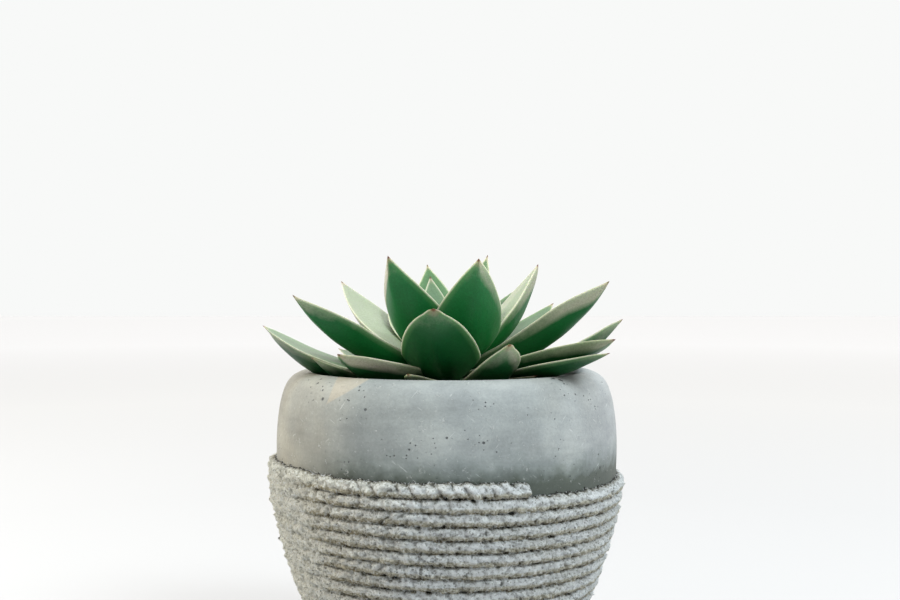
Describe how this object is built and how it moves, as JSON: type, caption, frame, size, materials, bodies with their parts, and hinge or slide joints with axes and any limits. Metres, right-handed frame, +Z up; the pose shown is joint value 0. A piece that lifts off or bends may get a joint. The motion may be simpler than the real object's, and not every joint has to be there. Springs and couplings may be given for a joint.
{
  "type": "potted rosette succulent",
  "caption": "Low rosette of thick pointed green succulent leaves in a round concrete pot with a smooth rim band and a rope-wound wall.",
  "frame": {"origin": "centre of the pot's foot, on the surface that it stands on", "axes": "+Z up, -Y the front of the pot as pictured, +X to the right"},
  "size_m": [0.1516, 0.1507, 0.1835],
  "materials": {
    "pot": "matte cast concrete, blue grey with a warm tinge, small air holes",
    "soil": "gritty dark potting mix",
    "stem": "short woody stem, pale brown",
    "leaf": "waxy satin skin, deep green with pale edges and red-brown points"
  },
  "bodies": {
    "root": {"pot": "pot", "soil": "soil", "stem": "stem", "leaf_01": "leaf", "leaf_02": "leaf", "leaf_03": "leaf", "leaf_04": "leaf", "leaf_05": "leaf", "leaf_06": "leaf", "leaf_07": "leaf", "leaf_08": "leaf", "leaf_09": "leaf", "leaf_10": "leaf", "leaf_11": "leaf", "leaf_12": "leaf", "leaf_13": "leaf", "leaf_14": "leaf", "leaf_15": "leaf", "leaf_16": "leaf", "leaf_17": "leaf", "leaf_18": "leaf", "leaf_19": "leaf", "leaf_20": "leaf", "leaf_21": "leaf", "leaf_22": "leaf", "leaf_23": "leaf", "leaf_24": "leaf", "leaf_25": "leaf", "leaf_26": "leaf", "leaf_27": "leaf", "leaf_28": "leaf", "leaf_29": "leaf", "leaf_30": "leaf", "leaf_31": "leaf", "leaf_32": "leaf", "leaf_33": "leaf", "leaf_34": "leaf", "leaf_35": "leaf", "leaf_36": "leaf", "leaf_37": "leaf", "leaf_38": "leaf", "leaf_39": "leaf", "leaf_40": "leaf"}
  },
  "joints": []
}
